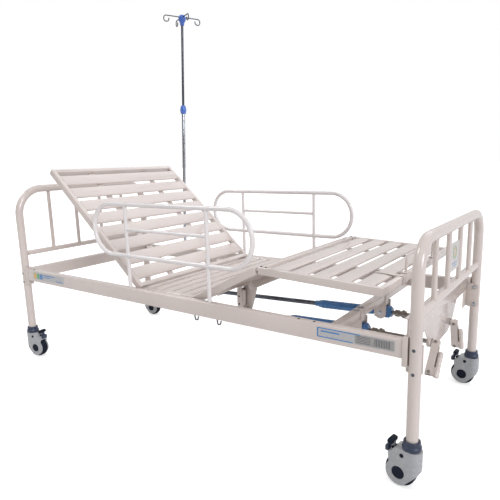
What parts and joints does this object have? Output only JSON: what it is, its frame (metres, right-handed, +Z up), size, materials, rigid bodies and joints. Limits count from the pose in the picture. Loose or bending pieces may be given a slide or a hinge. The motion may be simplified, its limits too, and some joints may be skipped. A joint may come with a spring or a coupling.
{
  "type": "adjustable hospital bed",
  "caption": "Two-crank adjustable hospital bed with slatted back, seat, thigh and calf sections, lift-out side guards, braked swivel casters and an infusion pole.",
  "frame": {"origin": "on the floor under the middle of the bounding box", "axes": "+X towards the foot end, +Y towards the side that has the infusion pole, +Z up"},
  "size_m": [2.1598, 1.01, 1.8613],
  "materials": {
    "ivory_paint": "satin powder coat, ivory",
    "blue_plastic": "semi-gloss moulded plastic, blue",
    "navy_plastic": "satin moulded plastic, navy",
    "chrome": "polished chrome plate",
    "grey_plastic": "satin moulded plastic, grey",
    "black_rubber": "matt rubber and hard plastic, near black",
    "bare_steel": "zinc-plated and oiled steel",
    "badge_plate": "smooth pale plate"
  },
  "bodies": {
    "bed_frame": {"head_hoop": "ivory_paint", "head_grille": "ivory_paint", "head_beam": "ivory_paint", "foot_hoop": "ivory_paint", "foot_grille": "ivory_paint", "badge_plate": "badge_plate", "foot_panel": "ivory_paint", "rail_near": "ivory_paint", "rail_far": "ivory_paint", "foot_crossbeam": "ivory_paint", "seat_frame": "ivory_paint", "seat_slats": "ivory_paint", "leg_drive_sleeve": "blue_plastic", "leg_drive_housing": "blue_plastic", "back_drive_sleeve": "blue_plastic", "back_drive_housing": "blue_plastic", "iv_socket": "ivory_paint", "bag_hook_1": "chrome", "bag_hook_2": "chrome", "caster_head_near_collar": "navy_plastic", "caster_head_far_collar": "navy_plastic", "caster_foot_near_collar": "navy_plastic", "caster_foot_far_collar": "navy_plastic"},
    "back_section": {"back_frame": "ivory_paint", "back_slats": "ivory_paint", "back_lever": "ivory_paint"},
    "thigh_section": {"thigh_frame": "ivory_paint", "thigh_slats": "ivory_paint", "leg_lever": "ivory_paint"},
    "calf_section": {"calf_frame": "ivory_paint", "calf_slats": "ivory_paint", "mattress_stop": "ivory_paint"},
    "back_push": {"back_drive_push_tube": "chrome"},
    "leg_push": {"leg_drive_push_tube": "chrome"},
    "back_crank": {"back_drive_shaft": "bare_steel", "back_drive_crank_arm": "ivory_paint"},
    "back_grip": {"back_drive_crank_grip": "ivory_paint"},
    "leg_crank": {"leg_drive_shaft": "bare_steel", "leg_drive_crank_arm": "ivory_paint"},
    "leg_grip": {"leg_drive_crank_grip": "ivory_paint"},
    "near_guard": {"guard_near": "ivory_paint"},
    "far_guard": {"guard_far": "ivory_paint"},
    "iv_pole": {"iv_lower_tube": "chrome"},
    "iv_collar": {"iv_knob": "blue_plastic"},
    "iv_extension": {"iv_upper_tube": "chrome"},
    "iv_head": {"iv_hook_head": "blue_plastic"},
    "head_near_fork": {"caster_head_near_housing": "grey_plastic"},
    "head_near_wheel": {"caster_head_near_wheel": "black_rubber"},
    "head_near_pedal": {"caster_head_near_pedal": "black_rubber"},
    "head_far_fork": {"caster_head_far_housing": "grey_plastic"},
    "head_far_wheel": {"caster_head_far_wheel": "black_rubber"},
    "head_far_pedal": {"caster_head_far_pedal": "black_rubber"},
    "foot_near_fork": {"caster_foot_near_housing": "grey_plastic"},
    "foot_near_wheel": {"caster_foot_near_wheel": "black_rubber"},
    "foot_near_pedal": {"caster_foot_near_pedal": "black_rubber"},
    "foot_far_fork": {"caster_foot_far_housing": "grey_plastic"},
    "foot_far_wheel": {"caster_foot_far_wheel": "black_rubber"},
    "foot_far_pedal": {"caster_foot_far_pedal": "black_rubber"}
  },
  "joints": [
    {"name": "back_tilt", "type": "hinge", "parent": "bed_frame", "child": "back_section", "pos_m": [-0.16933, -0.04806, 0.473], "axis": [0, 1, 0], "range_deg": [-41.4, 33.6]},
    {"name": "thigh_tilt", "type": "hinge", "parent": "bed_frame", "child": "thigh_section", "pos_m": [0.13967, -0.04806, 0.473], "axis": [0, -1, 0], "range_deg": [-26.9, 13.1]},
    {"name": "knee_fold", "type": "hinge", "parent": "thigh_section", "child": "calf_section", "pos_m": [0.45091, -0.04806, 0.6309], "axis": [0, -1, 0], "range_deg": [-14.37, 29.4]},
    {"name": "back_push_slide", "type": "slide", "parent": "bed_frame", "child": "back_push", "axis": [0.9992, 0, 0.0401], "range_m": [-0.07298, 0.08981]},
    {"name": "leg_push_slide", "type": "slide", "parent": "bed_frame", "child": "leg_push", "axis": [0.9992, 0, 0.0401], "range_m": [-0.05778, 0.02839]},
    {"name": "back_crank_turn", "type": "hinge", "parent": "bed_frame", "child": "back_crank", "pos_m": [1.01198, 0.07994, 0.378], "axis": [1, 0, 0], "range_deg": [-6435.2, 5223.8]},
    {"name": "back_grip_fold", "type": "hinge", "parent": "back_crank", "child": "back_grip", "pos_m": [1.02497, 0.11825, 0.27275], "axis": [0, 0.9397, 0.342], "range_deg": [0, 90]},
    {"name": "leg_crank_turn", "type": "hinge", "parent": "bed_frame", "child": "leg_crank", "pos_m": [1.01198, -0.17606, 0.378], "axis": [1, 0, 0], "range_deg": [-4129, 2013.4]},
    {"name": "leg_grip_fold", "type": "hinge", "parent": "leg_crank", "child": "leg_grip", "pos_m": [1.02497, -0.251, 0.29477], "axis": [0, 0.7431, -0.6691], "range_deg": [0, 90]},
    {"name": "near_guard_lift", "type": "slide", "parent": "bed_frame", "child": "near_guard", "axis": [0, 0, 1], "range_m": [0, 0.045]},
    {"name": "far_guard_lift", "type": "slide", "parent": "bed_frame", "child": "far_guard", "axis": [0, 0, 1], "range_m": [0, 0.045]},
    {"name": "head_near_swivel", "type": "hinge", "parent": "bed_frame", "child": "head_near_fork", "pos_m": [-1.03933, -0.47206, 0.1315], "axis": [0, 0, 1], "continuous": true},
    {"name": "head_near_roll", "type": "hinge", "parent": "head_near_fork", "child": "head_near_wheel", "pos_m": [-1.00802, -0.46541, 0.05], "axis": [0.2079, -0.9781, 0], "continuous": true},
    {"name": "head_near_brake", "type": "hinge", "parent": "head_near_fork", "child": "head_near_pedal", "pos_m": [-0.98357, -0.46021, 0.117], "axis": [0.2079, -0.9781, 0], "range_deg": [0, 12]},
    {"name": "head_far_swivel", "type": "hinge", "parent": "bed_frame", "child": "head_far_fork", "pos_m": [-1.03933, 0.37594, 0.1315], "axis": [0, 0, 1], "continuous": true},
    {"name": "head_far_roll", "type": "hinge", "parent": "head_far_fork", "child": "head_far_wheel", "pos_m": [-1.00764, 0.38039, 0.05], "axis": [0.1392, -0.9903, 0], "continuous": true},
    {"name": "head_far_brake", "type": "hinge", "parent": "head_far_fork", "child": "head_far_pedal", "pos_m": [-0.98288, 0.38387, 0.117], "axis": [0.1392, -0.9903, 0], "range_deg": [0, 12]},
    {"name": "foot_near_swivel", "type": "hinge", "parent": "bed_frame", "child": "foot_near_fork", "pos_m": [1.04068, -0.47206, 0.1315], "axis": [0, 0, 1], "continuous": true},
    {"name": "foot_near_roll", "type": "hinge", "parent": "foot_near_fork", "child": "foot_near_wheel", "pos_m": [1.00899, -0.46761, 0.05], "axis": [0.1392, 0.9903, 0], "continuous": true},
    {"name": "foot_near_brake", "type": "hinge", "parent": "foot_near_fork", "child": "foot_near_pedal", "pos_m": [0.98423, -0.46413, 0.117], "axis": [0.1392, 0.9903, 0], "range_deg": [0, 12]},
    {"name": "foot_far_swivel", "type": "hinge", "parent": "bed_frame", "child": "foot_far_fork", "pos_m": [1.04068, 0.37594, 0.1315], "axis": [0, 0, 1], "continuous": true},
    {"name": "foot_far_roll", "type": "hinge", "parent": "foot_far_fork", "child": "foot_far_wheel", "pos_m": [1.00869, 0.37706, 0.05], "axis": [0.0349, 0.9994, 0], "continuous": true},
    {"name": "foot_far_brake", "type": "hinge", "parent": "foot_far_fork", "child": "foot_far_pedal", "pos_m": [0.98371, 0.37793, 0.117], "axis": [0.0349, 0.9994, 0], "range_deg": [0, 12]},
    {"name": "iv_pole_lift", "type": "slide", "parent": "bed_frame", "child": "iv_pole", "axis": [0.0541, 0, 0.9985], "range_m": [0, 0.09]},
    {"name": "iv_collar_turn", "type": "hinge", "parent": "iv_pole", "child": "iv_collar", "pos_m": [-0.65959, 0.40644, 1.33303], "axis": [0.0541, 0, 0.9985], "range_deg": [-90, 90]},
    {"name": "iv_extend", "type": "slide", "parent": "iv_pole", "child": "iv_extension", "axis": [0.0541, 0, 0.9985], "range_m": [-0.42, 0.25]},
    {"name": "iv_head_turn", "type": "hinge", "parent": "iv_extension", "child": "iv_head", "pos_m": [-0.63282, 0.40644, 1.82731], "axis": [0.0541, 0, 0.9985], "continuous": true}
  ],
  "couplings": [
    {"joint": "knee_fold", "follows": "thigh_tilt", "ratio": -1.0892},
    {"joint": "back_push_slide", "follows": "back_tilt", "m_per_rad": -0.1236},
    {"joint": "leg_push_slide", "follows": "thigh_tilt", "m_per_rad": 0.122},
    {"joint": "back_crank_turn", "follows": "back_tilt", "ratio": 155.32},
    {"joint": "leg_crank_turn", "follows": "thigh_tilt", "ratio": 153.31}
  ]
}
